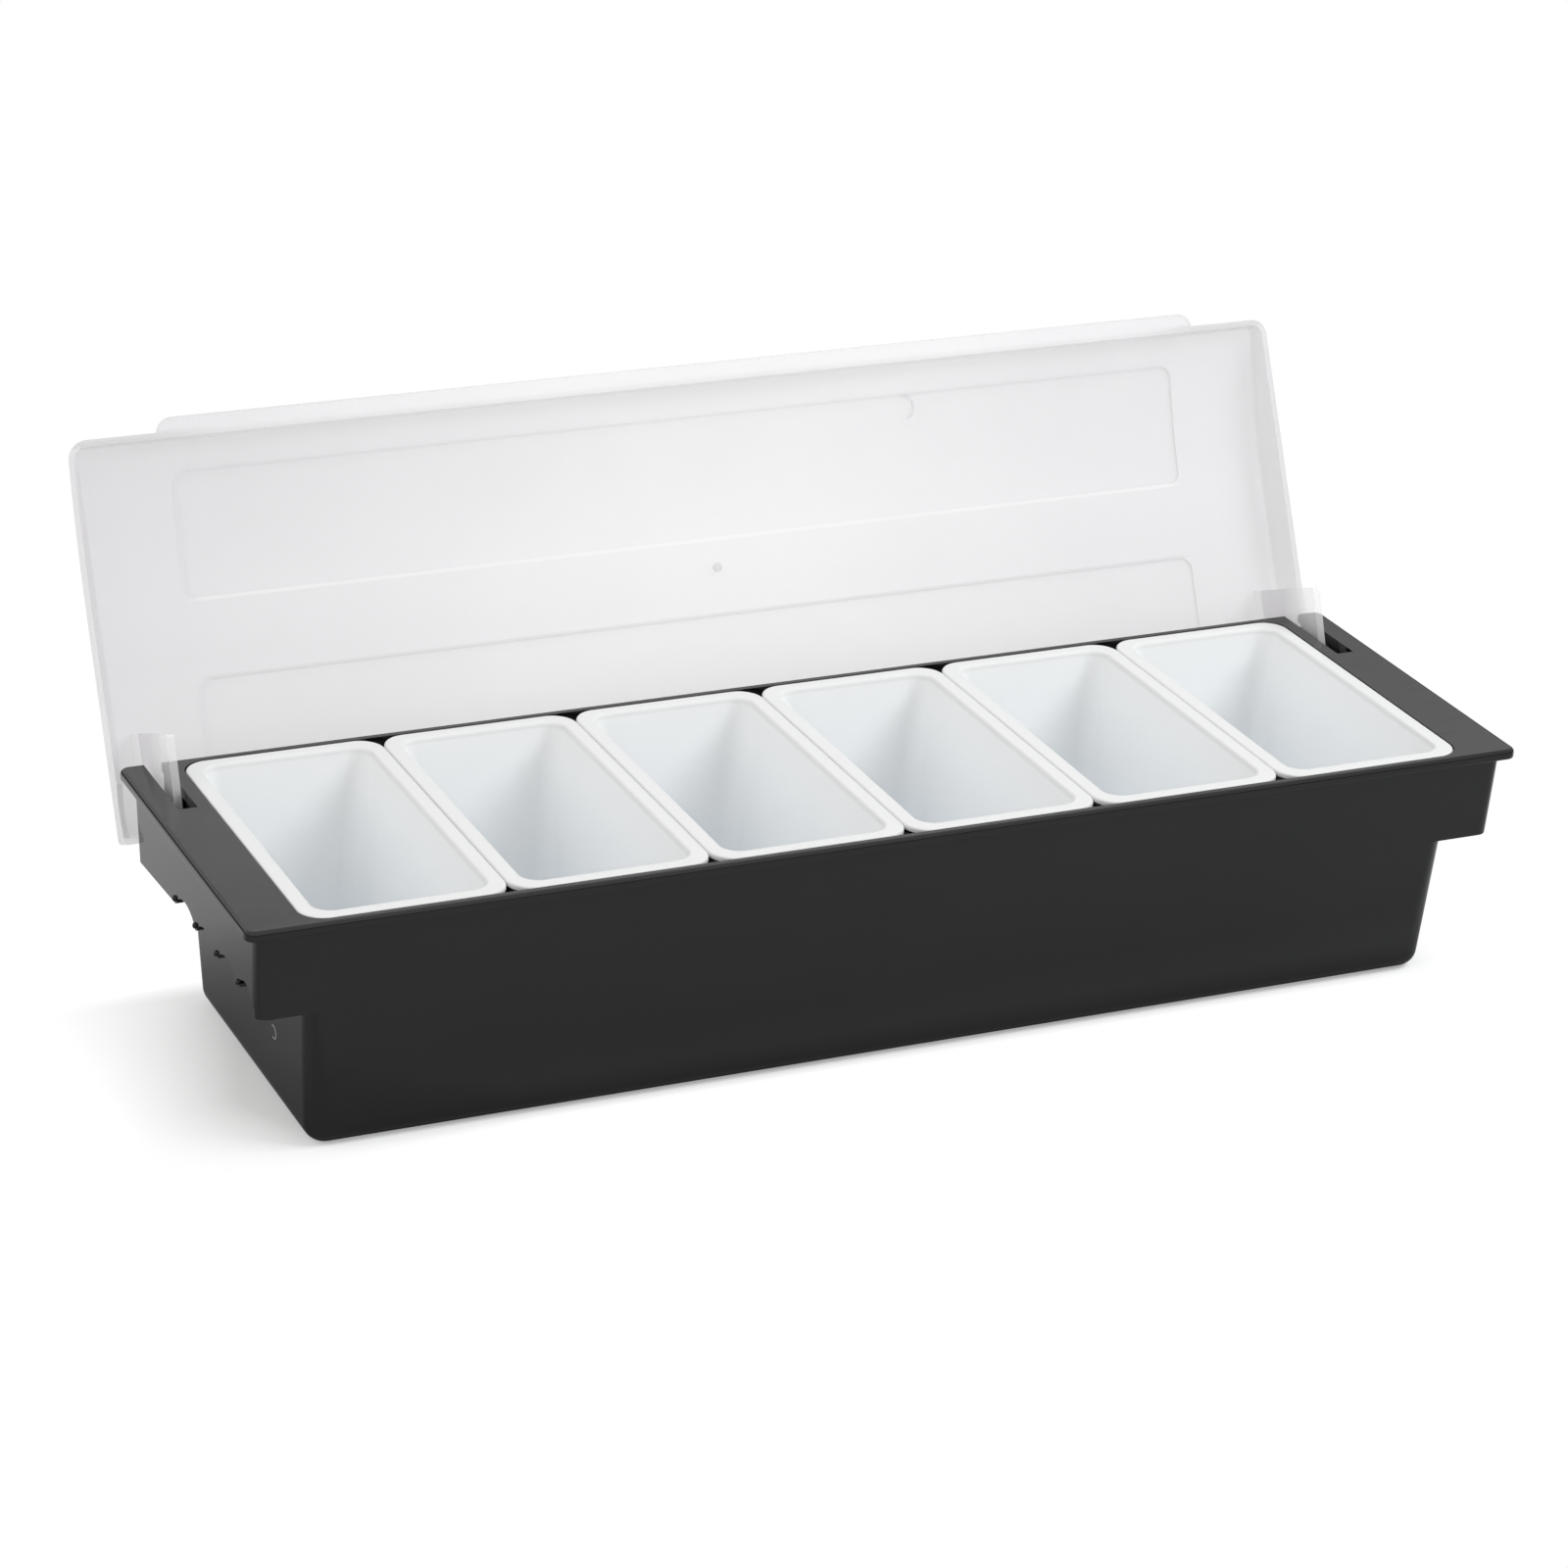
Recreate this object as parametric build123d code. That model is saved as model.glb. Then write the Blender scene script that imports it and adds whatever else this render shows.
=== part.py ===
from build123d import *
import math
import os

os.makedirs("parts", exist_ok=True)

# Bar garnish tray: a black moulded base holds six lift-out tubs under a clear hinged lid.
# Lengths are millimetres. Z is up and the front is -Y. The origin is on the table, under
# the middle of the base. The lid is drawn shut and then turned back to its open stop,
# which is how the tray stands at rest.

# Tubs
tub_count = 6
tub_width = 75.0
tub_length = 142.0
tub_depth = 80.0
tub_gap = 0.3
tub_rim_thickness = 2.2
tub_rim_corner_radius = 9.5
tub_side_rim = 4.2
tub_end_rim = 3.7
tub_rim_round = 0.9
tub_mouth_round = 1.5
tub_side_draft = 5.3
tub_end_draft = 7.3
tub_corner_radius = 9.0
tub_foot_round = 6.0
tub_wall = 2.0
tub_floor = 2.2

# Base: the trough. The rims bear on the top of its walls
rim_side_bearing = 2.95
rim_end_bearing = 1.4
trough_wall = 3.0
trough_floor = 3.0
trough_side_draft = 4.2
trough_front_draft = 8.9
trough_corner_radius = 8.0
trough_foot_round = 7.0
space_under_tubs = 8.1

# Base: the rebate in the lip that the rims sit in
seat_depth = 2.1
seat_clearance = 0.4

# Base: the hollow grips at both ends, open below
grip_reach = 17.3
grip_draft = 0.6
grip_wall = 2.8
grip_corner_radius = 5.0
grip_front_depth = 36.0
grip_end_depth = 31.6

# Base: finger scallops in the lower edge of each end wall, and the small domed nub on each cusp
scallop_count = 4
scallop_pitch = 24.0
front_scallop_width = 16.6
scallop_rise = 5.4
rear_edge_drop = 3.0
cusp_boss_radius = 1.9
cusp_nub_radius = 1.2
cusp_nub_reach = 1.1
cusp_nub_round = 1.05

# Base: the lip round the top
lip_end_overhang = 4.4
lip_side_overhang = 2.4
lip_thickness = 3.8
lip_corner_radius = 4.0
lip_edge_round = 1.6

# Hinge: where the pins are, and how they turn in the base
hinge_inset = 11.7
hinge_drop = 13.3
pin_radius = 2.5
pin_clearance = 0.06
pin_socket_depth = 2.2
pin_end_gap = 0.4
cheek_thickness = 2.6
cheek_margin = 4.6
slot_width = 7.0
slot_front_margin = 3.0

# Lid: the cover
lid_end_inset = 1.2
lid_front_inset = 2.4
lid_rear_inset = 0.5
lid_height = 16.2
lid_seat_gap = 0.2
lid_side_draft = 1.4
lid_end_draft = 0.6
lid_wall = 2.0
lid_corner_radius = 6.0
lid_rear_corner_radius = 1.2
lid_crown_round = 3.2
lid_inner_round = 1.4
lid_slope_run = 62.0
lid_slope_drop = 9.0
lid_swing_clearance = 0.3
lid_stop_gap = 0.69

# Lid: the two panels raised in its top
panel_end_inset = 39.5
panel_corner_radius = 6.0
panel_rise = 0.9
front_panel_start = 13.1
front_panel_width = 48.3
rear_panel_start = 14.0
rear_panel_width = 43.6

# Lid: the finger lip along the front rim
finger_lip_end_inset = 33.0
finger_lip_reach = 5.3
finger_lip_thickness = 2.0
finger_lip_corner_radius = 6.0
finger_lip_root = 1.0
finger_lip_round = 0.6

# Lid: the hinge tabs, as seen from the side on the shut lid
tab_end_inset = 11.7
tab_inward_shift = 1.0
tab_thickness = 3.0
tab_root_front = 40.0
tab_root_rear = 1.0
tab_tip_front = 36.6
tab_tip_rear = 6.0
tab_below_pin = 20.8
tab_tip_rise = 2.6
tab_corner_radius = 1.2

# How far every cutting shape runs past the face that it cuts
overrun = 2.0


def at_share(low, high, share):
    """Return the size at a share of the way from low to high."""
    return low + (high - low) * share


def row_length():
    """Length of the row of tubs, over their rims."""
    return tub_count * (tub_width + tub_gap) - tub_gap


def base_height():
    """Height of the lip's top, which the seated rims stand a little above."""
    tub_rise = tub_rim_thickness - seat_depth
    return trough_floor + space_under_tubs + tub_depth - tub_rise


def trough_length_at(z):
    """Outside length of the trough at a height."""
    mouth = row_length() + 2 * (trough_wall - rim_side_bearing)
    return at_share(mouth - 2 * trough_side_draft, mouth, z / base_height())


def trough_width_at(z):
    """Outside width of the trough, and of the grips, at a height."""
    mouth = tub_length + 2 * (trough_wall - rim_end_bearing)
    return at_share(mouth - 2 * trough_front_draft, mouth, z / base_height())


def grip_step_z():
    """The height of the grips' lower edge at the front and the rear."""
    return base_height() - grip_front_depth


def scallop_edge_z():
    """The height of the end walls' lower edge and of the cusps on it."""
    return base_height() - grip_end_depth


def grip_length_at(z):
    """Outside length over the two grips at a height."""
    mouth = trough_length_at(base_height()) + 2 * grip_reach
    return at_share(mouth - 2 * grip_draft, mouth, (z - grip_step_z()) / grip_front_depth)


def lip_length():
    """Length of the lip, which is the longest size of the base."""
    return grip_length_at(base_height()) + 2 * lip_end_overhang


def lip_width():
    """Width of the lip from front to rear."""
    return trough_width_at(base_height()) + 2 * lip_side_overhang


def wall_slab(plane, low_size, high_size, low, high, thickness):
    """A slab whose outline narrows evenly from high to low."""
    outline = Polyline(
        (-low_size / 2, low),
        (low_size / 2, low),
        (high_size / 2, high),
        (-high_size / 2, high),
        close=True,
    )
    return extrude(plane * make_face(outline), amount=thickness / 2, both=True)


def drafted_block(low_length, low_width, high_length, high_width, low, high):
    """A block whose four sides lean evenly, as a moulding's do."""
    long_slab = wall_slab(Plane.XZ, low_length, high_length, low, high, max(low_width, high_width))
    cross_slab = wall_slab(Plane.YZ, low_width, high_width, low, high, max(low_length, high_length))
    return long_slab & cross_slab


def upright_edges(block):
    """The four corner edges that run from the bottom of a block to its top."""
    height = block.bounding_box().size.Z
    return block.edges().filter_by(lambda edge: edge.bounding_box().size.Z > height / 2)


def trough_block(inset, low, high, corner_radius, foot_round):
    """The trough's form, moved in from its outside by the inset."""
    block = drafted_block(
        trough_length_at(low) - 2 * inset,
        trough_width_at(low) - 2 * inset,
        trough_length_at(high) - 2 * inset,
        trough_width_at(high) - 2 * inset,
        low,
        high,
    )
    block = fillet(upright_edges(block), corner_radius)
    return fillet(block.edges().group_by(Axis.Z)[0], foot_round)


def grip_block(inset, low, high, corner_radius):
    """The form of both grips and all between them, moved in by the inset."""
    block = drafted_block(
        grip_length_at(low) - 2 * inset,
        trough_width_at(low) - 2 * inset,
        grip_length_at(high) - 2 * inset,
        trough_width_at(high) - 2 * inset,
        low,
        high,
    )
    return fillet(upright_edges(block), corner_radius)


def front_stop_y():
    """Where the front scallop ends, at the front wall's inner face."""
    return grip_wall - trough_width_at(grip_step_z()) / 2


def cusp_places():
    """The Y of each cusp between two scallops, from the rear to the front."""
    front_cusp_y = front_stop_y() + front_scallop_width
    numbers = reversed(range(scallop_count))
    return [front_cusp_y + number * scallop_pitch for number in numbers]


def scallop_cutter():
    """What is cut away under the end walls: an edge that drops to the rear, then the scallops."""
    edge_z = scallop_edge_z()
    low_z = grip_step_z() - overrun
    rear_y = lip_width() / 2 + overrun
    points = [(cusp_y, edge_z) for cusp_y in cusp_places()]
    points.append((front_stop_y(), grip_step_z()))
    arcs = []
    for rear_point, front_point in zip(points, points[1:]):
        middle = ((rear_point[0] + front_point[0]) / 2, edge_z + scallop_rise)
        arcs.append(ThreePointArc(rear_point, middle, front_point))
    rear_point = (rear_y, edge_z - rear_edge_drop)
    straight = Line(rear_point, points[0])
    below = Polyline(points[-1], (front_stop_y(), low_z), (rear_y, low_z), rear_point)
    outline = make_face([straight] + arcs + [below])
    return extrude(Plane.YZ * outline, amount=lip_length() / 2, both=True)


def grip_shell():
    """The grips' thin outer walls, with scalloped ends."""
    step_z = grip_step_z()
    ceiling_z = base_height() - lip_thickness
    outer = grip_block(0, step_z, base_height(), grip_corner_radius)
    hollow_corner = grip_corner_radius - grip_wall
    hollow = grip_block(grip_wall, step_z - overrun, ceiling_z, hollow_corner)
    walls = outer - hollow - scallop_cutter()
    boss_z = scallop_edge_z() + cusp_boss_radius
    for side in (-1, 1):
        face_x = side * grip_length_at(boss_z) / 2
        for cusp_y in cusp_places():
            middle = Pos(face_x - side * grip_wall / 2, cusp_y, boss_z)
            walls += middle * Rot(0, 90, 0) * Cylinder(cusp_boss_radius, grip_wall)
    return walls


def lip_plate():
    """The flat lip round the top, with soft edges."""
    outline = RectangleRounded(lip_length(), lip_width(), lip_corner_radius)
    plate = Pos(0, 0, base_height() - lip_thickness) * extrude(outline, amount=lip_thickness)
    plate = fillet(plate.edges().group_by(Axis.Z)[-1], lip_edge_round)
    return fillet(plate.edges().group_by(Axis.Z)[0], lip_edge_round / 2)


def seat_cutter():
    """The shallow rebate that locates the row of tub rims."""
    outline = RectangleRounded(
        row_length() + 2 * seat_clearance,
        tub_length + 2 * seat_clearance,
        tub_rim_corner_radius + seat_clearance,
    )
    floor = Pos(0, 0, base_height() - seat_depth)
    return floor * extrude(outline, amount=seat_depth + overrun)


def hinge_y():
    """The Y of the hinge axis."""
    return lip_width() / 2 - hinge_inset


def hinge_z():
    """The Z of the hinge axis."""
    return base_height() - hinge_drop


def tab_x():
    """How far the middle of each hinge tab, and of its slot, is from the tray's middle."""
    return lip_length() / 2 - lid_end_inset - tab_end_inset


def slot_cutter(side):
    """The slot that a hinge tab swings in, open at the rear and below."""
    low_z = grip_step_z() - overrun
    high_z = base_height() + overrun
    front_y = lid_rear_y() - tab_root_front - slot_front_margin
    rear_y = lip_width() / 2 + overrun
    middle = Pos(side * tab_x(), (front_y + rear_y) / 2, (low_z + high_z) / 2)
    return middle * Box(slot_width, rear_y - front_y, high_z - low_z)


def hinge_cheeks(side):
    """The pair of cheeks beside a slot, under the lip and against the rear wall."""
    low_z = hinge_z() - cheek_margin
    high_z = base_height() - lip_thickness / 2
    front_y = hinge_y() - cheek_margin
    rear_y = (trough_width_at(low_z) - grip_wall) / 2
    cheeks = []
    for direction in (-1, 1):
        distance = direction * (slot_width + cheek_thickness) / 2
        middle = Pos(side * (tab_x() + distance), (front_y + rear_y) / 2, (low_z + high_z) / 2)
        cheeks.append(middle * Box(cheek_thickness, rear_y - front_y, high_z - low_z))
    return cheeks


def pin_half_length():
    """Half the length of a hinge pin, through the slot and into both cheeks."""
    return slot_width / 2 + pin_socket_depth - pin_end_gap


def pin_socket(side):
    """The bore through the cheeks that a hinge pin turns in."""
    half = slot_width / 2 + pin_socket_depth
    middle = Pos(side * tab_x(), hinge_y(), hinge_z())
    return middle * Rot(0, 90, 0) * Cylinder(pin_radius + pin_clearance, 2 * half)


def cusp_nubs(side):
    """The small domed nub that marks each cusp, rooted in the end wall."""
    nub_z = scallop_edge_z() + cusp_boss_radius
    root_x = grip_length_at(nub_z) / 2 - grip_wall / 2
    nub = extrude(Circle(cusp_nub_radius), amount=grip_wall / 2 + cusp_nub_reach)
    nub = fillet(nub.edges().group_by(Axis.Z)[-1], cusp_nub_round)
    turn = Rot(0, side * 90, 0)
    return [Pos(side * root_x, cusp_y, nub_z) * turn * nub for cusp_y in cusp_places()]


def make_base():
    """The black base: trough, lip and end grips in one moulding."""
    base = trough_block(0, 0, base_height(), trough_corner_radius, trough_foot_round)
    base += grip_shell()
    base += lip_plate()
    inner_corner = trough_corner_radius - trough_wall
    inner_foot = trough_foot_round - trough_wall
    base -= trough_block(trough_wall, trough_floor, base_height() + overrun, inner_corner, inner_foot)
    base -= seat_cutter()
    for side in (-1, 1):
        for cheek in hinge_cheeks(side):
            base += cheek
        base -= slot_cutter(side)
        base -= pin_socket(side)
        for nub in cusp_nubs(side):
            base += nub
    return base


def tub_block(inset, low, high, corner_radius, foot_round):
    """A tub's form under its rim, moved in by the inset. Zero is the rim's top."""
    top_width = tub_width - 2 * tub_side_rim
    top_length = tub_length - 2 * tub_end_rim

    def width_at(z):
        return top_width + 2 * tub_side_draft * z / tub_depth - 2 * inset

    def length_at(z):
        return top_length + 2 * tub_end_draft * z / tub_depth - 2 * inset

    block = drafted_block(width_at(low), length_at(low), width_at(high), length_at(high), low, high)
    block = fillet(upright_edges(block), corner_radius)
    return fillet(block.edges().group_by(Axis.Z)[0], foot_round)


def make_tub():
    """One white tub, with the top of its rim at zero height."""
    rim_outline = RectangleRounded(tub_width, tub_length, tub_rim_corner_radius)
    rim = Pos(0, 0, -tub_rim_thickness) * extrude(rim_outline, amount=tub_rim_thickness)
    rim = fillet(rim.edges().group_by(Axis.Z)[-1], tub_rim_round)
    rim = fillet(rim.edges().group_by(Axis.Z)[0], tub_rim_round / 2)
    body = tub_block(0, -tub_depth, -tub_rim_thickness / 2, tub_corner_radius, tub_foot_round)
    inner_corner = tub_corner_radius - tub_wall
    inner_foot = tub_foot_round - tub_wall
    tub = rim + body
    tub -= tub_block(tub_wall, tub_floor - tub_depth, overrun, inner_corner, inner_foot)
    top_edges = tub.edges().filter_by(lambda edge: edge.bounding_box().min.Z > -tub_rim_round / 2)
    half_width = tub_width / 2 - tub_side_rim
    half_length = tub_length / 2 - tub_end_rim
    mouth_edges = top_edges.filter_by(lambda edge: abs(edge.center().X) < half_width)
    mouth_edges = mouth_edges.filter_by(lambda edge: abs(edge.center().Y) < half_length)
    return fillet(mouth_edges, tub_mouth_round)


def tub_place(number):
    """Where a tub sits in the row, counted from the left."""
    x = (number - (tub_count + 1) / 2) * (tub_width + tub_gap)
    return Pos(x, 0, base_height() - seat_depth + tub_rim_thickness)


def lid_rear_y():
    """The Y of the shut lid's rear face at its rim."""
    return lip_width() / 2 - lid_rear_inset


def lid_front_y():
    """The Y of the shut lid's front face at its rim."""
    return lid_front_inset - lip_width() / 2


def lid_rim_z():
    """The height of the shut lid's rim."""
    return base_height() + lid_seat_gap


def lid_length():
    """Length of the lid at its rim."""
    return lip_length() - 2 * lid_end_inset


def lid_profile(skin):
    """The shut lid's side view, lowered by the skin: flat, then curving down to the front."""
    top_z = lid_rim_z() + lid_height - skin
    slope_radius = (lid_slope_run**2 + lid_slope_drop**2) / (2 * lid_slope_drop)
    slope_y = lid_front_y() + lid_slope_run
    front_y = lid_front_y() - overrun
    run = slope_y - front_y
    radius = slope_radius - skin
    front_z = top_z - radius + math.sqrt(radius**2 - run**2)
    rear_y = lid_rear_y() + overrun
    low_z = lid_rim_z() - overrun
    flat = Line((rear_y, top_z), (slope_y, top_z))
    slope = TangentArc((slope_y, top_z), (front_y, front_z), tangent=(-1, 0))
    rest = Polyline((front_y, front_z), (front_y, low_z), (rear_y, low_z), (rear_y, top_z))
    return extrude(Plane.YZ * make_face([flat, slope, rest]), amount=lip_length() / 2, both=True)


def lid_form(inset, skin, low, corner_radius, rear_corner_radius, crown_round):
    """The shut lid's solid form, moved in by the inset and lowered by the skin."""
    high = lid_rim_z() + lid_height
    middle_y = (lid_rear_y() + lid_front_y()) / 2
    width = lid_rear_y() - lid_front_y()
    block = drafted_block(
        lid_length() - 2 * inset,
        width - 2 * inset,
        lid_length() - 2 * lid_side_draft - 2 * inset,
        width - 2 * lid_end_draft - 2 * inset,
        low,
        high,
    )
    form = Pos(0, middle_y, 0) * block & lid_profile(skin)
    low_edges = form.edges().filter_by(lambda edge: edge.bounding_box().min.Z < low + crown_round / 2)
    corners = low_edges.filter_by(lambda edge: edge.bounding_box().size.Z > crown_round)
    form = fillet(corners.sort_by(Axis.Y)[:2], corner_radius)
    crown = form.edges().filter_by(lambda edge: edge.bounding_box().min.Z > low + crown_round)
    form = fillet(crown, crown_round)
    corners = form.edges().filter_by(lambda edge: edge.bounding_box().min.Z < low + crown_round / 2)
    corners = corners.filter_by(lambda edge: edge.bounding_box().size.Z > crown_round)
    return fillet(corners.sort_by(Axis.Y)[-2:], rear_corner_radius)


def panel_columns(grow):
    """Tall columns over the two raised panels, wider by the growth on every side."""
    radius = panel_corner_radius + grow
    length = lid_length() - 2 * panel_end_inset + 2 * grow
    front_middle = lid_front_y() + front_panel_start + front_panel_width / 2
    rear_middle = lid_rear_y() - rear_panel_start - rear_panel_width / 2
    columns = []
    for middle_y, width in ((front_middle, front_panel_width), (rear_middle, rear_panel_width)):
        outline = RectangleRounded(length, width + 2 * grow, radius)
        column = extrude(outline, amount=lid_height + 2 * overrun)
        columns.append(Pos(0, middle_y, lid_rim_z() + lid_wall) * column)
    return columns


def lid_tab(side):
    """One hinge tab and its pin, on the shut lid."""
    root_z = lid_rim_z() + lid_height - lid_wall / 2
    tip_z = hinge_z() - tab_below_pin
    rear = lid_rear_y()
    outline = Polyline(
        (rear - tab_root_rear, root_z),
        (rear - tab_root_front, root_z),
        (rear - tab_tip_front, tip_z),
        (rear - tab_tip_rear, tip_z + tab_tip_rise),
        close=True,
    )
    plate = extrude(Plane.YZ * make_face(outline), amount=tab_thickness / 2, both=True)
    tip_edges = plate.edges().filter_by(Axis.X).sort_by(Axis.Z)[:2]
    plate = Pos(side * (tab_x() - tab_inward_shift), 0, 0) * fillet(tip_edges, tab_corner_radius)
    turned = Pos(side * tab_x(), hinge_y(), hinge_z()) * Rot(0, 90, 0)
    return plate + turned * Cylinder(pin_radius, 2 * pin_half_length())


def swing_radius():
    """Radius about the hinge axis that clears the lip's rear edge."""
    reach = hinge_inset - lip_edge_round
    rise = hinge_drop - lip_edge_round
    return math.hypot(reach, rise) + lip_edge_round + lid_swing_clearance


def swing_relief():
    """What is cut from the lid's rear rim, so that it swings round the lip's rear edge."""
    middle = Pos(0, hinge_y(), hinge_z())
    return middle * Rot(0, 90, 0) * Cylinder(swing_radius(), lip_length())


def finger_lip():
    """The lip along the front rim that lifts the lid."""
    root = finger_lip_root + finger_lip_corner_radius
    reach = finger_lip_reach + root
    length = lid_length() - 2 * finger_lip_end_inset
    outline = RectangleRounded(length, 2 * reach, finger_lip_corner_radius)
    plate = extrude(outline, amount=finger_lip_thickness)
    plate = fillet(plate.edges().group_by(Axis.Z)[-1], finger_lip_round)
    plate = Pos(0, lid_front_y() + root, lid_rim_z()) * plate
    keep_length = length + 2 * overrun
    keep_width = finger_lip_reach + finger_lip_root + overrun
    keep = Box(keep_length, keep_width, 2 * lid_height)
    return plate & Pos(0, lid_front_y() + finger_lip_root - keep_width / 2, lid_rim_z()) * keep


def make_shut_lid():
    """The clear lid in its shut place: shell, panels, finger lip and hinge tabs."""
    shell = lid_form(0, 0, lid_rim_z(), lid_corner_radius, lid_rear_corner_radius, lid_crown_round)
    low = lid_rim_z() - overrun
    inner_corner = lid_corner_radius - lid_wall
    shell -= lid_form(lid_wall, lid_wall, low, inner_corner, lid_rear_corner_radius, lid_inner_round)
    for column in panel_columns(0):
        shell += (column & lid_profile(-panel_rise)) - lid_profile(lid_wall / 2)
    for column in panel_columns(-panel_rise):
        shell -= column & lid_profile(lid_wall - panel_rise)
    shell -= swing_relief()
    shell += finger_lip()
    for side in (-1, 1):
        shell += lid_tab(side)
    return shell


def open_angle():
    """How many degrees the lid turns until its rear edge nears the base's rear wall."""
    rear_edge_share = (lid_rear_y() - hinge_y()) / swing_radius()
    lean = math.atan(trough_front_draft / base_height())
    wall_distance = (trough_width_at(hinge_z()) / 2 - hinge_y()) * math.cos(lean)
    stop_share = (wall_distance + lid_stop_gap) / swing_radius()
    return math.degrees(math.acos(rear_edge_share) + lean + math.acos(stop_share))


def make_lid():
    """The lid turned back to its open stop against the rear wall."""
    hinge = Axis((0, hinge_y(), hinge_z()), (1, 0, 0))
    return make_shut_lid().rotate(hinge, -open_angle())


def save(node, solid):
    """Write one node's STEP file and print its volume."""
    export_step(solid, os.path.join("parts", node + ".step"))
    print(node, round(solid.volume / 1000, 2), "cm3")


def main():
    save("base_housing", make_base())
    save("lid", make_lid())
    tub = make_tub()
    for number in range(1, tub_count + 1):
        save("tub_" + str(number), tub_place(number) * tub)
    print("lip", round(lip_length(), 2), "by", round(lip_width(), 2), "at", round(base_height(), 2))
    print("hinge at", round(hinge_y(), 2), round(hinge_z(), 2), "opens", round(open_angle(), 2))


main()
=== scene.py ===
import math

import bpy
from mathutils import Matrix, Vector


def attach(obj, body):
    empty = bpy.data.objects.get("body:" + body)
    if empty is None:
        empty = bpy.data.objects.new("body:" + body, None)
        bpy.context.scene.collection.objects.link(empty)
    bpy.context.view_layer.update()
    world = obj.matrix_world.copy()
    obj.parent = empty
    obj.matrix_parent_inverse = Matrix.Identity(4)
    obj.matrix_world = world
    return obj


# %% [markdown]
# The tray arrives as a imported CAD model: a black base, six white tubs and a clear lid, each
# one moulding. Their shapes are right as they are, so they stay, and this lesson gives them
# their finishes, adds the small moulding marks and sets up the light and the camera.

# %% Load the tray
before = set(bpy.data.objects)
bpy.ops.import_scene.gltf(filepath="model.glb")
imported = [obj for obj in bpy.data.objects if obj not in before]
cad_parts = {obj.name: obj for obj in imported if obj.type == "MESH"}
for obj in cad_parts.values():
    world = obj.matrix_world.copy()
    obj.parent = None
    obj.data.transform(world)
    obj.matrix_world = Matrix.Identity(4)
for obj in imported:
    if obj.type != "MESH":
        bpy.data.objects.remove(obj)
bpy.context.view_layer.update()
print("nodes:", sorted(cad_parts))

# %% [markdown]
# The camera stands left of the tray and looks down on it. Its place was worked out from the
# straight edges of the base, so we build its axes from three angles: how far it is turned,
# how far it looks down, and how far it is rolled. A tracking constraint could aim it too,
# but it can't roll, and the roll shows in the long edges.

# %% Camera
camera_place = Vector((-0.69049, -1.45965, 0.77404))
camera_turn = -0.431492
camera_tilt = 0.406028
camera_roll = 0.041351
sensor_width_mm = 36.0
focal_pixels = 4889.55
picture_pixels = 1600
nearest_seen = 0.01
farthest_seen = 100

forward = Vector((
    -math.sin(camera_turn) * math.cos(camera_tilt),
    math.cos(camera_turn) * math.cos(camera_tilt),
    -math.sin(camera_tilt),
))
level_right = Vector((math.cos(camera_turn), math.sin(camera_turn), 0))
level_up = level_right.cross(forward)
right = math.cos(camera_roll) * level_right + math.sin(camera_roll) * level_up
up = math.cos(camera_roll) * level_up - math.sin(camera_roll) * level_right
camera_axes = Matrix((right, up, -forward)).transposed().to_4x4()

camera_data = bpy.data.cameras.new("camera")
camera_data.sensor_width = sensor_width_mm
camera_data.lens = focal_pixels * sensor_width_mm / picture_pixels
camera_data.clip_start = nearest_seen
camera_data.clip_end = farthest_seen
camera = bpy.data.objects.new("camera", camera_data)
camera.matrix_world = Matrix.Translation(camera_place) @ camera_axes
bpy.context.scene.collection.objects.link(camera)
bpy.context.scene.camera = camera
print("lens:", round(camera_data.lens, 2), "mm")

# %% [markdown]
# Every finish here is a small graph of shader nodes, so we define helpers before the first
# one. Three of them do the groundwork. One starts a material with its main shader and a
# coordinate, one adds a node, sets its values and joins its inputs in one go, and one gives
# a finished material to a piece. All patterns read Object coordinates, which are metres on
# the tray, so they sit still when the camera moves.

# %% Helpers that add nodes
def start_material(name):
    """A new material with its node tree, its main shader and object coordinates in metres."""
    material = bpy.data.materials.new(name)
    material.use_nodes = True
    tree = material.node_tree
    shader = tree.nodes["Principled BSDF"]
    place = tree.nodes.new("ShaderNodeTexCoord").outputs["Object"]
    return material, tree, shader, place


def add_node(tree, kind, settings=None, inputs=None):
    """Add a node, set its properties and fill its inputs with values or with links."""
    made = tree.nodes.new(kind)
    for key, value in (settings or {}).items():
        setattr(made, key, value)
    for key, value in (inputs or {}).items():
        if isinstance(value, bpy.types.NodeSocket):
            tree.links.new(value, made.inputs[key])
        else:
            made.inputs[key].default_value = value
    return made


def cover(node_name, material):
    """Give one piece of the CAD model its material."""
    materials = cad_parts[node_name].data.materials
    materials.clear()
    materials.append(material)


print("node helpers ready")

# %% [markdown]
# The rest of the helpers are the few kinds of nodes that the finishes are built from: a
# noise pattern, a range spread over another, a sum or product, a blend of two colours and a
# shallow relief. Each returns the output that the next one takes. The Mix node keeps its
# number and vector sockets before those for colours, so these go by their place in the row.

# %% Helpers for patterns
first_colour_input = 6
second_colour_input = 7
colour_output = 2


def noise(tree, place, scale, detail=2.0, stretch=(1, 1, 1)):
    """A noise pattern from 0 to 1, with scale features to a metre, stretched along axes."""
    mapped = add_node(tree, "ShaderNodeMapping", inputs={"Vector": place, "Scale": stretch})
    pattern = add_node(tree, "ShaderNodeTexNoise", inputs={
        "Vector": mapped.outputs["Vector"],
        "Scale": scale,
        "Detail": detail,
    })
    return pattern.outputs["Fac"]


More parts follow.
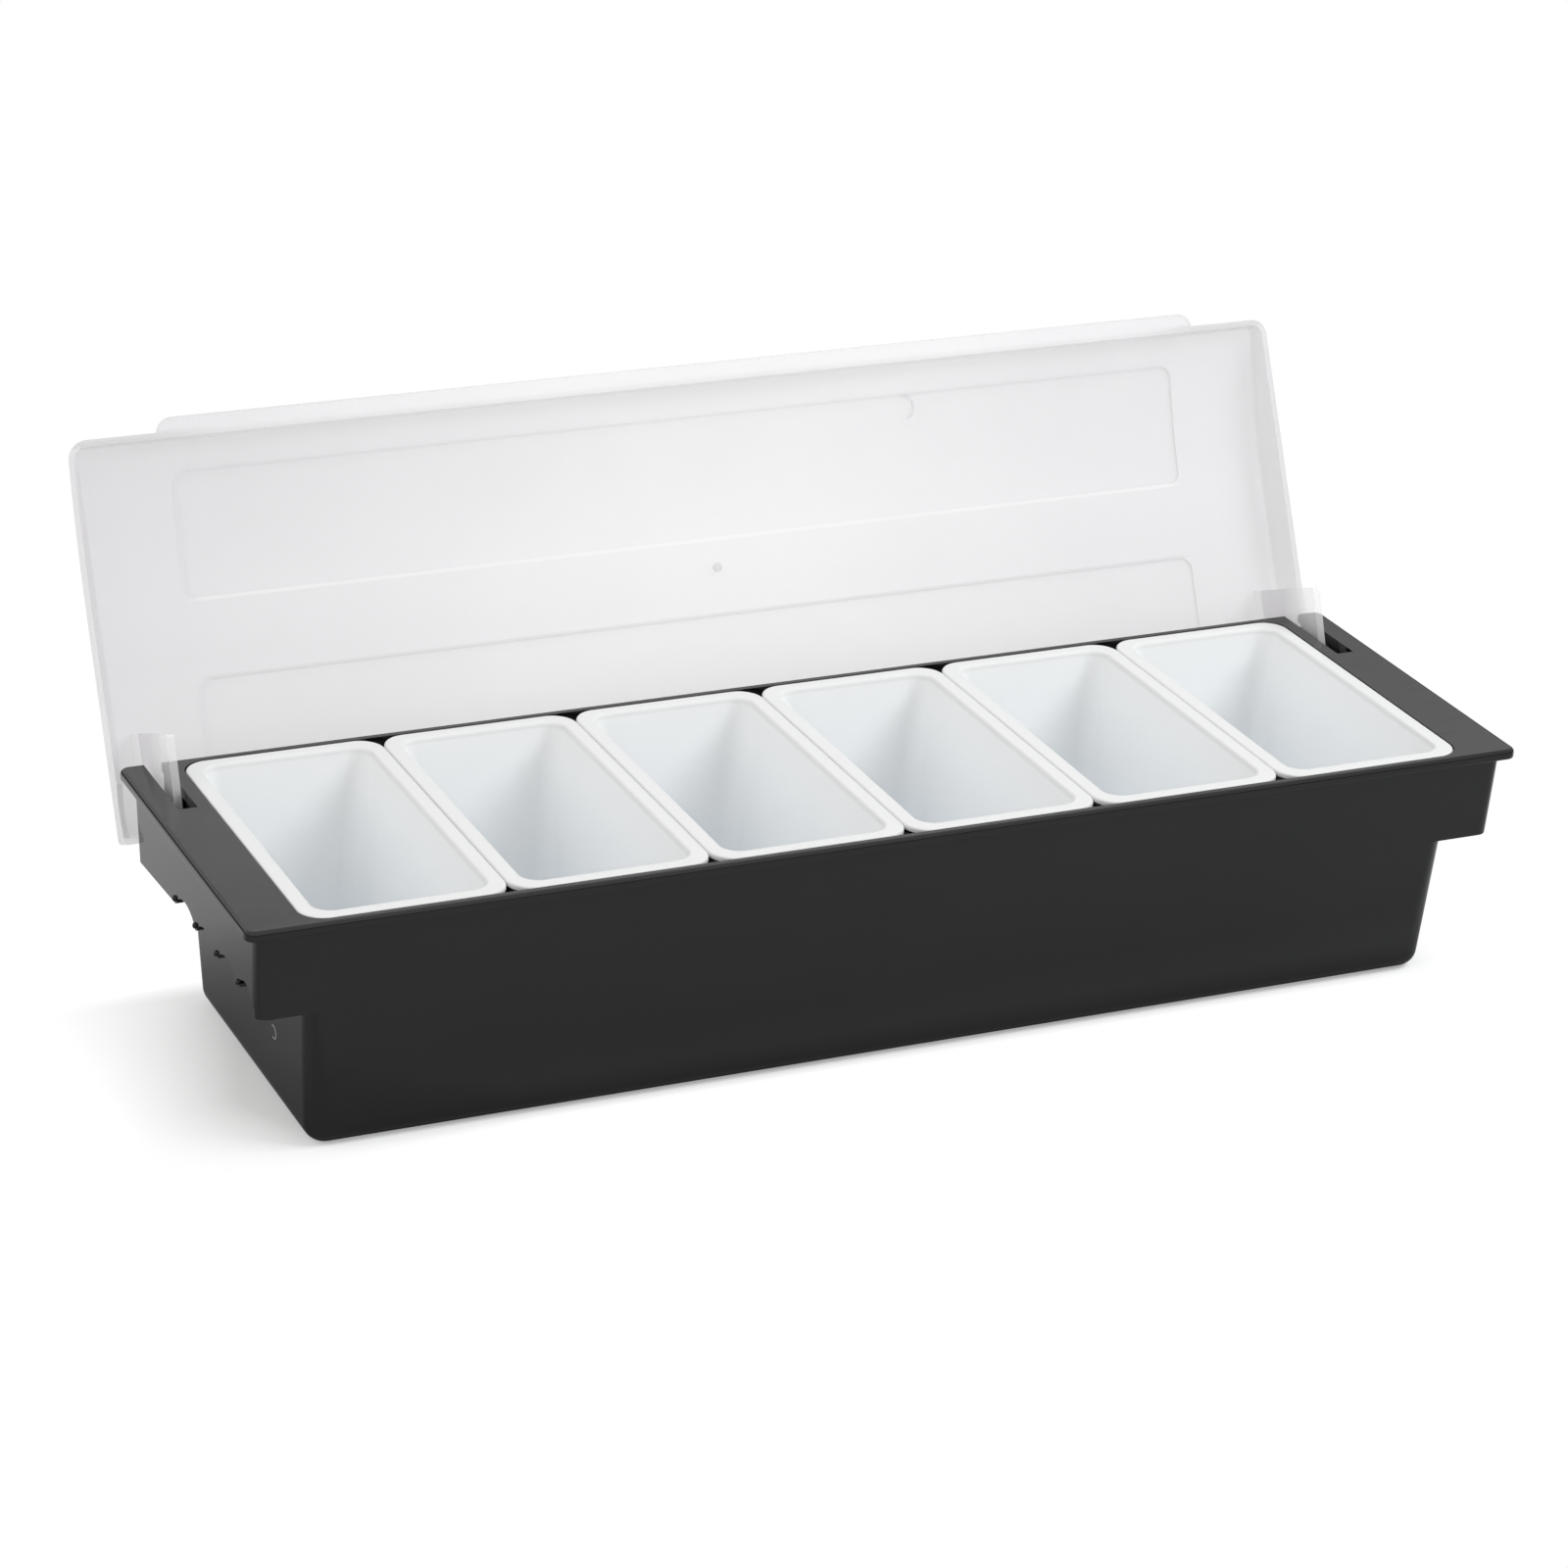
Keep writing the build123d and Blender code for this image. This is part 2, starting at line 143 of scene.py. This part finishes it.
def spread(tree, value, first, last, start=0.3, stop=0.7):
    """Go from first to last while a value goes from start to stop, and hold beyond them."""
    made = add_node(tree, "ShaderNodeMapRange", inputs={
        "Value": value,
        "From Min": start,
        "From Max": stop,
        "To Min": first,
        "To Max": last,
    })
    return made.outputs["Result"]


def calculate(tree, operation, first, second=0.0):
    """One sum on one or two values, named as the Math node names it."""
    made = add_node(tree, "ShaderNodeMath", {"operation": operation}, {0: first, 1: second})
    return made.outputs["Value"]


def blend_colours(tree, share, first, second):
    """Blend two fixed colours by a share from 0 to 1."""
    ramp = add_node(tree, "ShaderNodeValToRGB", inputs={"Fac": share})
    ramp.color_ramp.elements[0].color = (*first, 1)
    ramp.color_ramp.elements[1].color = (*second, 1)
    return ramp.outputs["Color"]


def lay_over(tree, share, under, colour):
    """Lay a fixed colour over a pattern of colours by a share from 0 to 1."""
    made = add_node(tree, "ShaderNodeMix", {"data_type": "RGBA"}, {
        "Factor": share,
        first_colour_input: under,
        second_colour_input: (*colour, 1),
    })
    return made.outputs[colour_output]


def bump(tree, height, depth, strength):
    """Raise the surface by a pattern of a depth in metres."""
    made = add_node(tree, "ShaderNodeBump", inputs={
        "Height": height,
        "Distance": depth,
        "Strength": strength,
    })
    return made.outputs["Normal"]


print("pattern helpers ready")

# %% [markdown]
# The base is moulded in glossy black plastic. What shows of it is mostly the pale room
# mirrored in it, so the colour is nearly black and the low roughness gives the lip its
# sharp mirror image of the lid. A cloudy pattern varies the roughness, long thin noise
# makes the fine rub marks of a tray that slides in and out, and a very shallow grain
# keeps the mirror image from being perfect.

# %% Black plastic of the base
darkest_black = (0.0040, 0.0043, 0.0042)
palest_black = (0.0066, 0.0067, 0.0064)

black_plastic, tree, shader, place = start_material("black_moulded_plastic")
shader.inputs["IOR"].default_value = 1.46
shader.inputs["Specular IOR Level"].default_value = 0.80
clouds = noise(tree, place, scale=35)
colour = blend_colours(tree, clouds, darkest_black, palest_black)
tree.links.new(colour, shader.inputs["Base Color"])

rubs = noise(tree, place, scale=60, detail=4, stretch=(0.6, 9, 3))
cloud_roughness = spread(tree, clouds, first=0.07, last=0.11)
rub_roughness = spread(tree, rubs, first=0, last=0.08, start=0.55, stop=0.75)
roughness = calculate(tree, "ADD", cloud_roughness, rub_roughness)
tree.links.new(roughness, shader.inputs["Roughness"])

grain = noise(tree, place, scale=1400, detail=3)
tree.links.new(bump(tree, grain, depth=0.00001, strength=0.4), shader.inputs["Normal"])
cover("base_housing", black_plastic)
print("base material:", black_plastic.name)

# %% [markdown]
# The tubs are white polypropylene, a slightly waxy plastic. In the picture their walls look
# cooler towards the floor, where light has passed from wall to wall, so the colour drifts,
# as a painted tint of that light, from a neutral white near the rim to a faint blue-grey
# below. The rims themselves are a little greyer. Fine upright drag lines come from drawing
# the tub off its mould, and a soft cloudiness breaks up the sheen.

# %% White plastic of the tubs
low_wall_white = (0.915, 0.940, 0.965)
high_wall_white = (0.890, 0.895, 0.893)
greyer_rim_white = (0.760, 0.762, 0.755)
tub_count = 6

white_plastic, tree, shader, place = start_material("white_tub_plastic")
shader.inputs["IOR"].default_value = 1.49
shader.inputs["Specular IOR Level"].default_value = 0.4
height = add_node(tree, "ShaderNodeSeparateXYZ", inputs={"Vector": place}).outputs["Z"]
# Painted light: the wall colour turns lighter and bluer towards the floor.
up_the_wall = spread(tree, height, first=0, last=1, start=0.015, stop=0.090)
wall_colour = blend_colours(tree, up_the_wall, low_wall_white, high_wall_white)
rim_share = spread(tree, height, first=0, last=1, start=0.0885, stop=0.0905)
colour = lay_over(tree, rim_share, wall_colour, greyer_rim_white)
tree.links.new(colour, shader.inputs["Base Color"])

clouds = noise(tree, place, scale=45)
tree.links.new(spread(tree, clouds, first=0.30, last=0.42), shader.inputs["Roughness"])
drag = noise(tree, place, scale=420, stretch=(1, 1, 0.04))
tree.links.new(bump(tree, drag, depth=0.00003, strength=0.35), shader.inputs["Normal"])
for number in range(1, tub_count + 1):
    cover("tub_" + str(number), white_plastic)
print("tub material:", white_plastic.name, "on", tub_count, "tubs")

# %% [markdown]
# The lid is clear plastic that has gone milky with washing. A glass shader would bend the
# room behind it, but the real sheet mostly lets light through and scatters the rest, so
# each face is a pale diffuse skin with a steady share of alpha. Light passes two faces,
# and what shows through is the square of one face's clear share. The haze colour carries
# painted light: palest in the middle and at the lid's top and foot, and a faint rosy grey
# of painted shade towards the ends. Heights are measured up the open lid, from its top edge.

# %% Haze and painted light of the lid
open_angle = math.radians(115.5)
top_edge_height = 0.2322
shaded_end_haze = (0.680, 0.660, 0.682)
lit_middle_haze = (0.858, 0.846, 0.862)
painted_margin_light = 0.25
cloudiness = 0.12

clear_plastic, tree, shader, place = start_material("clear_lid_plastic")
axes = add_node(tree, "ShaderNodeSeparateXYZ", inputs={"Vector": place})
# Painted light and shade: the haze is lighter across the middle and darker towards the ends.
left_painted_light = spread(tree, axes.outputs["X"], first=0, last=1, start=-0.21, stop=-0.02)
right_painted_light = spread(tree, axes.outputs["X"], first=1, last=0.30, start=0.03, stop=0.19)
painted_middle_light = calculate(tree, "MULTIPLY", left_painted_light, right_painted_light)

up_the_lid = (0, -math.cos(open_angle), math.sin(open_angle))
height = add_node(tree, "ShaderNodeVectorMath", {"operation": "DOT_PRODUCT"}, {0: place, 1: up_the_lid})
past_edge = calculate(tree, "SUBTRACT", height.outputs["Value"], top_edge_height)
# Painted light at the lid's foot and near its top edge.
painted_foot_light = spread(tree, past_edge, first=painted_margin_light, last=0, start=-0.107, stop=-0.082)
painted_top_light = spread(tree, past_edge, first=0, last=painted_margin_light, start=-0.012, stop=-0.005)

clouds = noise(tree, place, scale=18, detail=3)
haze_and_painted_light = spread(tree, clouds, first=-cloudiness, last=cloudiness, start=0.2, stop=0.8)
for share in (painted_middle_light, painted_foot_light, painted_top_light):
    haze_and_painted_light = calculate(tree, "ADD", haze_and_painted_light, share)
haze_and_light_colour = blend_colours(tree, haze_and_painted_light, shaded_end_haze, lit_middle_haze)
print("lid haze from", shaded_end_haze, "to", lit_middle_haze)

# %% [markdown]
# Along the top edge, near the corners, and on the end walls the sheet is seen edge-on and
# looks darker, so two bands of painted grey shade follow those edges. The lid has two raised
# panels, and a thin pale line of painted highlight shows along the lower edge of the front
# one and a faint grey line of painted shadow along the upper edge of the rear one. A function
# draws both, each at its own distance from the top edge. The bands and lines are shares of a
# colour, so MAXIMUM joins those that overlap without adding them up.

# %% Painted bands and lines of the lid
painted_shade_grey = (0.40, 0.40, 0.41)
line_half_width = 0.0004
line_fade_end = 0.0009
panel_side_start = 0.2008
panel_side_end = 0.2068

from_middle = calculate(tree, "ABSOLUTE", axes.outputs["X"])
from_edge = calculate(tree, "ABSOLUTE", past_edge)


def edge_line(drop, share):
    """How much of a thin painted line shows along a panel's edge, this far below the top edge."""
    from_line = calculate(tree, "ABSOLUTE", calculate(tree, "ADD", past_edge, drop))
    on_line = spread(tree, from_line, share, 0, line_half_width, line_fade_end)
    on_panel = spread(tree, from_middle, 1, 0, panel_side_start, panel_side_end)
    return calculate(tree, "MULTIPLY", on_line, on_panel)


# Painted shade: grey bands where the sheet is seen edge-on.
corner_shade_share = spread(tree, from_middle, first=0, last=0.45, start=0.190, stop=0.215)
painted_top_shade = spread(tree, from_edge, first=corner_shade_share, last=0, start=0.0010, stop=0.0024)
painted_end_shade = spread(tree, from_middle, first=0, last=0.15, start=0.2425, stop=0.2450)
# A painted shadow line and a painted highlight line along the panels' edges.
painted_shadow_line = edge_line(drop=0.0890, share=0.16)
painted_highlight_line = edge_line(drop=0.0600, share=0.42)
painted_grey_share = calculate(tree, "MAXIMUM", calculate(tree, "MAXIMUM", painted_shadow_line, painted_top_shade), painted_end_shade)
banded_colour = lay_over(tree, painted_grey_share, haze_and_light_colour, painted_shade_grey)
print("lid bands and lines ready")

# %% [markdown]
# The hinge tabs stay clearer and let a little more light through, and a paler colour on them
# is painted light for faces the lamps reach less. The pale highlight line takes that colour
# too. Soft clouds in the roughness and a shallow orange peel stand for the washing and the
# moulding.

# %% Clear plastic of the lid
painted_light_colour = (0.98, 0.975, 0.975)
cover_alpha = 0.38
tab_alpha = 0.33

shader.inputs["IOR"].default_value = 1.49
shader.inputs["Specular IOR Level"].default_value = 0.5
# Painted light: the tabs take a paler colour, as does the highlight line.
tab_share = spread(tree, axes.outputs["Y"], first=1, last=0, start=0.070, stop=0.076)
painted_pale_share = calculate(tree, "MAXIMUM", tab_share, painted_highlight_line)
tree.links.new(lay_over(tree, painted_pale_share, banded_colour, painted_light_colour), shader.inputs["Base Color"])
alpha = spread(tree, tab_share, first=cover_alpha, last=tab_alpha, start=0, stop=1)
tree.links.new(alpha, shader.inputs["Alpha"])
roughness = spread(tree, clouds, first=0.16, last=0.26, start=0.2, stop=0.8)
tree.links.new(roughness, shader.inputs["Roughness"])
peel = noise(tree, place, scale=260)
tree.links.new(bump(tree, peel, depth=0.00004, strength=0.4), shader.inputs["Normal"])
cover("lid", clear_plastic)
print("lid material:", clear_plastic.name)

# %% [markdown]
# The moulds left small round marks. Ejector pins pressed a fine arc into the lid's inner
# face near its top edge and a smaller one into each end of the trough, whose lighter grey
# is a painted glint on the mark's rim, and a frosted dot in the lid's middle is where the
# plastic flowed in. On the real tray they are part of the mouldings, so each is a thin ring
# or disc sunk into its face. The lid's arc lies just inside the milky sheet, which softens
# it. An arc is a torus that bisect cuts cleanly and closes, and the dot is a cylinder with
# its upper edge bevelled.

# %% Helpers for moulding marks
smooth_angle = math.radians(35)


def make_disc(name, radius, thickness, edge_bevel, material):
    """A disc with a bevelled upper edge, its middle at the world's origin."""
    bpy.ops.object.select_all(action="DESELECT")
    bpy.ops.mesh.primitive_cylinder_add(vertices=48, radius=radius, depth=thickness)
    disc = bpy.context.active_object
    disc.name = name
    bpy.ops.object.mode_set(mode="EDIT")
    bpy.ops.mesh.select_mode(type="FACE")
    bpy.ops.mesh.select_all(action="DESELECT")
    bpy.ops.object.mode_set(mode="OBJECT")
    top_face = max(disc.data.polygons, key=lambda face: face.center.z)
    top_face.select = True
    bpy.ops.object.mode_set(mode="EDIT")
    bpy.ops.mesh.bevel(offset=edge_bevel, segments=3, affect="EDGES")
    bpy.ops.object.mode_set(mode="OBJECT")
    bpy.ops.object.shade_smooth_by_angle(angle=smooth_angle)
    disc.data.materials.append(material)
    return disc


def make_arc(name, radius, line, cut, material):
    """The part of a thin ring round the world's origin that lies right of a cut."""
    bpy.ops.object.select_all(action="DESELECT")
    bpy.ops.mesh.primitive_torus_add(
        major_radius=radius,
        minor_radius=line,
        major_segments=64,
        minor_segments=12,
    )
    arc = bpy.context.active_object
    arc.name = name
    bpy.ops.object.mode_set(mode="EDIT")
    bpy.ops.mesh.select_all(action="SELECT")
    bpy.ops.mesh.bisect(plane_co=(cut, 0, 0), plane_no=(1, 0, 0), clear_inner=True, use_fill=True)
    bpy.ops.object.mode_set(mode="OBJECT")
    bpy.ops.object.shade_smooth_by_angle(angle=smooth_angle)
    arc.data.materials.append(material)
    return arc


def put(mark, place, body):
    """Carry a mark to its place, settle it there and let it ride on a body."""
    bpy.ops.object.select_all(action="DESELECT")
    mark.select_set(True)
    bpy.context.view_layer.objects.active = mark
    mark.matrix_world = place
    bpy.ops.object.transform_apply(location=True, rotation=True, scale=True)
    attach(mark, body)


print("mark helpers ready")

# %% [markdown]
# We place the lid's marks as if it were shut, where the places are easy to read: so far
# along the lid and so far forward of its rear. Its top is flat at the rear and then slopes
# down on a large arc to the front, and the marks lean with that slope. Then they turn back
# with the lid about the hinge.

# %% Marks on the lid
hinge_place = Vector((0, 0.0633, 0.0777))
turn_back = Matrix.Rotation(-open_angle, 4, "X")
open_lid = Matrix.Translation(hinge_place) @ turn_back @ Matrix.Translation(-hinge_place)

lid_rear_y = 0.0745
lid_top_z = 0.1074
lid_wall = 0.0020
slope_start_y = -0.0106
slope_radius = 0.21806
look_down = Matrix.Rotation(math.pi, 4, "X")


def inner_face(x, from_rear, above):
    """The place on the shut lid's inner face, facing down, and so far above that face."""
    y = lid_rear_y - from_rear
    slope = math.asin(max(slope_start_y - y, 0) / slope_radius)
    drop = lid_wall * math.cos(slope) + slope_radius * (1 - math.cos(slope))
    spot = Matrix.Translation((x, y, lid_top_z - drop))
    lean = Matrix.Rotation(-slope, 4, "X")
    return open_lid @ spot @ lean @ look_down @ Matrix.Translation((0, 0, above))


frosted, tree, shader, place = start_material("frosted_clear_plastic")
shader.inputs["Alpha"].default_value = 0.30
shader.inputs["Roughness"].default_value = 0.5
speckle = noise(tree, place, scale=900)
colour = blend_colours(tree, speckle, (0.66, 0.66, 0.67), (0.76, 0.76, 0.77))
tree.links.new(colour, shader.inputs["Base Color"])

arc = make_arc("lid_ejector_arc", radius=0.0050, line=0.00045, cut=0.0017, material=frosted)
put(arc, inner_face(x=0.0875, from_rear=0.1285, above=-0.0005), "lid")

gate_thickness = 0.0010
gate_stand = 0.0002
gate_above = gate_stand - gate_thickness / 2
gate = make_disc("gate_dot", 0.0018, gate_thickness, edge_bevel=0.0001, material=frosted)
put(gate, inner_face(x=0.0031, from_rear=0.0750, above=gate_above), "lid")
print("marks on the lid:", arc.name, "and", gate.name)

# %% [markdown]
# The trough's ends lean in a little towards the foot, as a moulding has to, so each arc
# is turned to face along its wall's normal. Each arc's lighter grey is a painted glint. One
# loop makes both, because the second end mirrors the first.

# %% Marks on the trough's ends
end_mark_place = Vector((0.22296, -0.0288, 0.0294))
end_lean_in = 0.0042
end_rise = 0.0910
end_lean = math.atan(end_lean_in / end_rise)

# Painted glint: a lighter grey where the mark's rim would catch the light.
glint_grey_plastic, tree, shader, place = start_material("painted_glint_black_plastic")
shader.inputs["Roughness"].default_value = 0.5
speckle = noise(tree, place, scale=700)
colour = blend_colours(tree, speckle, (0.20, 0.20, 0.20), (0.30, 0.30, 0.30))
tree.links.new(colour, shader.inputs["Base Color"])

for side_name, side in (("left", -1), ("right", 1)):
    outward = Vector((side * math.cos(end_lean), 0, -math.sin(end_lean)))
    frontward = Vector((0, -1, 0))
    facing = Matrix((frontward, outward.cross(frontward), outward)).transposed().to_4x4()
    spot = Matrix.Translation((side * end_mark_place.x, end_mark_place.y, end_mark_place.z))
    arc = make_arc("trough_ejector_glint_arc_" + side_name, 0.0025, line=0.0004, cut=-0.0010, material=glint_grey_plastic)
    put(arc, spot @ facing, "base")
    print("mark on the trough:", arc.name)

# %% [markdown]
# The floor is a plain white sheet. Near the tray it takes the soft shadow, and further off
# it fades to pure white, as in a studio picture. Camera, mirror and see-through rays get
# that white from the floor's own colour and not from more light, so nothing on the tray
# gets brighter for it.

# %% Floor sheet
floor_size = 16

bpy.ops.object.select_all(action="DESELECT")
bpy.ops.mesh.primitive_plane_add(size=floor_size)
floor = bpy.context.active_object
floor.name = "floor"

floor_material, tree, shader, place = start_material("white_floor")
tree.nodes.remove(shader)
axes = add_node(tree, "ShaderNodeSeparateXYZ", inputs={"Vector": place})
floor.data.materials.append(floor_material)
print("floor:", floor_size, "m")

# %% [markdown]
# The fade follows a distance from the foot of the tray, which we put together from how far
# a point lies past each of the foot's four sides. The shadow falls to the left, so there the
# fade runs further out. It starts latest a little in front of the middle, and earlier
# towards both corners, which rounds the shadow off. In front of the foot the shadow is
# narrow, so the distance counts over three times there, except at the left end.

# %% Fade round the tray
foot_x = 0.2216
foot_y = 0.0637
fade_reach = 0.013
left_reach = 0.054


def beyond(axis, edge, stretch=1.0):
    """How far a point lies past the foot's edge along one axis, over the stretch."""
    past = calculate(tree, "SUBTRACT", axes.outputs[axis], edge)
    return calculate(tree, "MAXIMUM", calculate(tree, "DIVIDE", past, stretch), 0)


rear_start = spread(tree, axes.outputs["Y"], first=0.014, last=-0.010, start=-0.03, stop=0.06)
front_start = spread(tree, axes.outputs["Y"], first=-0.022, last=0, start=-0.055, stop=-0.020)
fade_start = calculate(tree, "ADD", rear_start, front_start)
from_left = beyond("X", -foot_x, stretch=-1)
past_left = spread(tree, from_left, first=0, last=fade_reach, start=fade_start, stop=left_reach)
aside = calculate(tree, "ADD", beyond("X", foot_x), past_left)

front_stretch = spread(tree, axes.outputs["X"], first=-1.0, last=-0.3, start=-0.23, stop=-0.14)
past_front = beyond("Y", -foot_y, front_stretch)
along = calculate(tree, "ADD", beyond("Y", foot_y), past_front)

offset = add_node(tree, "ShaderNodeCombineXYZ", inputs={"X": aside, "Y": along})
length = add_node(tree, "ShaderNodeVectorMath", {"operation": "LENGTH"}, {0: offset.outputs["Vector"]})
distance = length.outputs["Value"]
far_share = spread(tree, distance, first=0, last=1, start=0, stop=fade_reach)
print("fade:", fade_reach, "m round the foot,", left_reach, "m at the left")

# %% [markdown]
# In the mirror image the sheet carries painted shade: it is greyer close to the foot and
# towards the front, as the trough's glossy walls show it in the picture, and mostly white
# behind the tray. The camera sees the sheet a little lifted, by a glow that only camera and
# see-through rays meet. Light Path tells the rays apart.

# %% Floor finish
sheet_white = 0.8
camera_lift = 0.22

rays = add_node(tree, "ShaderNodeLightPath")
camera_ray = rays.outputs["Is Camera Ray"]
clear_ray = rays.outputs["Is Transmission Ray"]
mirror_ray = rays.outputs["Is Glossy Ray"]
camera_or_clear = calculate(tree, "MAXIMUM", camera_ray, clear_ray)
lift = calculate(tree, "MULTIPLY", camera_or_clear, camera_lift)

# Painted shade in the mirror image: greyer near the foot and towards the front.
near_painted_shade = spread(tree, distance, first=0.53, last=1, start=0, stop=0.06)
front_painted_shade = spread(tree, axes.outputs["Y"], first=0.45, last=0.92, start=-0.10, stop=0.01)
mirror_painted_shade = calculate(tree, "MULTIPLY", near_painted_shade, front_painted_shade)
mirror_grey = calculate(tree, "MULTIPLY", mirror_painted_shade, sheet_white)
sheet_grey = spread(tree, mirror_ray, first=sheet_white, last=mirror_grey, start=0, stop=1)

rear_share = spread(tree, axes.outputs["Y"], first=0, last=0.70, start=0.12, stop=0.40)
seen_white = calculate(tree, "MULTIPLY", far_share, camera_or_clear)
mirrored_white = calculate(tree, "MULTIPLY", rear_share, mirror_ray)
white_share = calculate(tree, "MAXIMUM", seen_white, mirrored_white)

sheet_colour = add_node(tree, "ShaderNodeCombineColor", inputs={0: sheet_grey, 1: sheet_grey, 2: sheet_grey})
sheet = add_node(tree, "ShaderNodeBsdfDiffuse", inputs={"Color": sheet_colour.outputs[0]})
glow = add_node(tree, "ShaderNodeEmission", inputs={"Strength": lift})
near = add_node(tree, "ShaderNodeAddShader", inputs={0: sheet.outputs[0], 1: glow.outputs[0]})
white = add_node(tree, "ShaderNodeEmission", inputs={"Strength": 1.0})
both = add_node(tree, "ShaderNodeMixShader", inputs={
    0: white_share,
    1: near.outputs[0],
    2: white.outputs[0],
})
tree.links.new(both.outputs[0], tree.nodes["Material Output"].inputs["Surface"])
print("floor material:", floor_material.name)

# %% [markdown]
# Light comes from a bright, even room and one large soft lamp at the right, which throws
# the shadow to the left as in the picture. A weaker warm lamp at the left fills the walls
# that face it. Large lamps give soft shadows, as the tray's shadow has. The lamps don't
# show in the mirror image, so no hot lines run along the rounded edges.

# %% Lamps
tray_middle = Vector((0, 0, 0.06))


def add_lamp(name, place, size, power, colour):
    """A square area lamp that looks at the middle of the tray."""
    data = bpy.data.lights.new(name, "AREA")
    data.size = size
    data.energy = power
    data.color = colour
    lamp = bpy.data.objects.new(name, data)
    lamp.location = place
    lamp.rotation_euler = (tray_middle - Vector(place)).to_track_quat("-Z", "Y").to_euler()
    lamp.visible_glossy = False
    bpy.context.scene.collection.objects.link(lamp)
    print(name, power, "W")


add_lamp("key_lamp", place=(1.3, -0.7, 1.7), size=1.1, power=29, colour=(0.96, 0.985, 1.0))
add_lamp("fill_lamp", place=(-1.8, -0.3, 1.2), size=1.4, power=10, colour=(1.0, 0.985, 0.95))

# %% [markdown]
# The room is white to the camera but weaker on the tray, which keeps the tubs from
# clipping. In the mirror image it is dimmer near the horizon, which draws the dark line
# round the lip's edge, and also high up and at the right, which the front corner and the
# right end of the lip mirror. Here Z is how steeply a ray goes up, and X how far it goes
# to the right.

# %% Room light
room_light = 0.66

world = bpy.data.worlds.new("room")
world.use_nodes = True
bpy.context.scene.world = world
tree = world.node_tree
rays = add_node(tree, "ShaderNodeLightPath")
seen = calculate(tree, "MAXIMUM", rays.outputs["Is Camera Ray"], rays.outputs["Is Transmission Ray"])
direction = add_node(tree, "ShaderNodeTexCoord").outputs["Generated"]
towards = add_node(tree, "ShaderNodeSeparateXYZ", inputs={"Vector": direction})
low_dim = spread(tree, towards.outputs["Z"], first=0.12, last=1.0, start=0.24, stop=0.40)
high_dim = spread(tree, towards.outputs["Z"], first=1.0, last=0.70, start=0.41, stop=0.45)
right_dim = spread(tree, towards.outputs["X"], first=1.0, last=0.76, start=0.30, stop=0.50)
height_dim = calculate(tree, "MULTIPLY", low_dim, high_dim)
mirrored = calculate(tree, "MULTIPLY", height_dim, right_dim)
unmirrored = spread(tree, seen, first=room_light, last=1.0, start=0, stop=1)
strength = spread(tree, rays.outputs["Is Glossy Ray"], unmirrored, mirrored, start=0, stop=1)
tree.links.new(strength, tree.nodes["Background"].inputs["Strength"])
tree.nodes["Background"].inputs["Color"].default_value = (1, 1, 1, 1)
bpy.context.scene.view_settings.view_transform = "Standard"
print("room light:", room_light)
